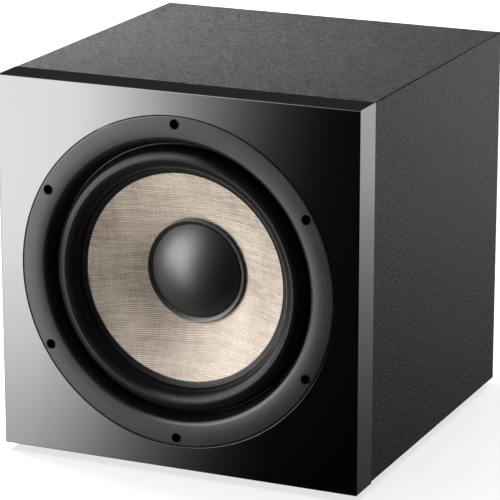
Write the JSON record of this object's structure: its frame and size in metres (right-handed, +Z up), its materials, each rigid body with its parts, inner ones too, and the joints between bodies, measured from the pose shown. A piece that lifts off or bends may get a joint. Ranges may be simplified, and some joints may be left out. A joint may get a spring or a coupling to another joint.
{
  "type": "subwoofer cabinet",
  "caption": "Sealed near-cubic active subwoofer: gloss baffle, woven-cone woofer with a tall rubber roll, wrapped body, rear amplifier plate.",
  "frame": {"origin": "centre of the footprint, on the surface that the feet stand on", "axes": "+Z up; the woofer faces -Y and the amplifier plate faces +Y; +X to the right when looking at the front"},
  "size_m": [0.392, 0.414, 0.398],
  "materials": {
    "lacquer": "piano-black high-gloss lacquer on board",
    "wrap": "black fine-grained vinyl wrap on board, matt",
    "board": "bare fibreboard",
    "ring_plastic": "satin black moulding",
    "rubber": "satin black rubber",
    "flax": "woven flax between glass skins",
    "cap": "satin black dome",
    "cast_alloy": "cast, black coated",
    "steel": "plain",
    "ferrite": "sintered ferrite",
    "copper": "enamelled copper wire",
    "spider_cloth": "resin-stiffened woven cloth",
    "black_plastic": "black moulding",
    "amp_metal": "black anodised",
    "zinc": "bright plated",
    "board_green": "solder-masked laminate",
    "lens": "clear diffusing lens"
  },
  "bodies": {
    "cabinet": {"front_baffle": "lacquer", "top_panel": "wrap", "bottom_panel": "wrap", "left_panel": "wrap", "right_panel": "wrap", "rear_panel": "wrap", "window_brace": "board", "trim_ring": "ring_plastic", "surround": "rubber", "driver_gasket": "rubber", "amp_gasket": "rubber", "grille_socket_1": "rubber", "grille_socket_2": "rubber", "grille_socket_3": "rubber", "grille_socket_4": "rubber", "grille_socket_5": "rubber", "grille_socket_6": "rubber", "foot_front_left": "rubber", "foot_front_right": "rubber", "foot_rear_left": "rubber", "foot_rear_right": "rubber", "driver_basket": "cast_alloy", "top_plate": "steel", "yoke": "steel", "driver_screw_1": "steel", "driver_screw_2": "steel", "driver_screw_3": "steel", "driver_screw_4": "steel", "driver_screw_5": "steel", "driver_screw_6": "steel", "magnet": "ferrite", "transformer": "copper", "spider": "spider_cloth", "rocker_frame": "black_plastic", "mains_inlet": "black_plastic", "amp_plate": "amp_metal", "heat_sink": "amp_metal", "amp_chassis": "zinc", "toggle_bush": "zinc", "rca_jack_1": "zinc", "rca_jack_2": "zinc", "amp_screw_1": "zinc", "amp_screw_2": "zinc", "amp_screw_3": "zinc", "amp_screw_4": "zinc", "amp_screw_5": "zinc", "amp_screw_6": "zinc", "circuit_board": "board_green", "status_lens": "lens"},
    "cone_assembly": {"cone": "flax", "dust_cap_collar": "black_plastic", "dust_cap": "cap", "voice_coil_former": "zinc", "voice_coil_winding": "copper"},
    "level_control": {"level_knob": "black_plastic"},
    "crossover_control": {"crossover_knob": "black_plastic"},
    "phase_control": {"phase_knob": "black_plastic"},
    "power_switch": {"power_rocker": "black_plastic"},
    "auto_switch": {"auto_toggle": "zinc"},
    "fuse_carrier": {"fuse_drawer": "black_plastic"}
  },
  "joints": [
    {"name": "cone_excursion", "type": "slide", "parent": "cabinet", "child": "cone_assembly", "axis": [0, -1, 0], "range_m": [-0.012, 0.012], "stiffness_N_per_m": 4000, "deforming": ["surround", "spider"]},
    {"name": "level_turn", "type": "hinge", "parent": "cabinet", "child": "level_control", "pos_m": [0.085, 0.194, 0.183], "axis": [0, -1, 0], "range_deg": [-140, 140]},
    {"name": "crossover_turn", "type": "hinge", "parent": "cabinet", "child": "crossover_control", "pos_m": [0.04, 0.194, 0.183], "axis": [0, -1, 0], "range_deg": [-140, 140]},
    {"name": "phase_turn", "type": "hinge", "parent": "cabinet", "child": "phase_control", "pos_m": [-0.005, 0.194, 0.183], "axis": [0, -1, 0], "range_deg": [-140, 140]},
    {"name": "power_rock", "type": "hinge", "parent": "cabinet", "child": "power_switch", "pos_m": [0.01, 0.1935, 0.123], "axis": [1, 0, 0], "range_deg": [0, 16]},
    {"name": "auto_flip", "type": "hinge", "parent": "cabinet", "child": "auto_switch", "pos_m": [-0.055, 0.1934, 0.183], "axis": [1, 0, 0], "range_deg": [-13, 13]},
    {"name": "fuse_slide", "type": "slide", "parent": "cabinet", "child": "fuse_carrier", "axis": [0, 1, 0], "range_m": [0, 0.016]}
  ]
}
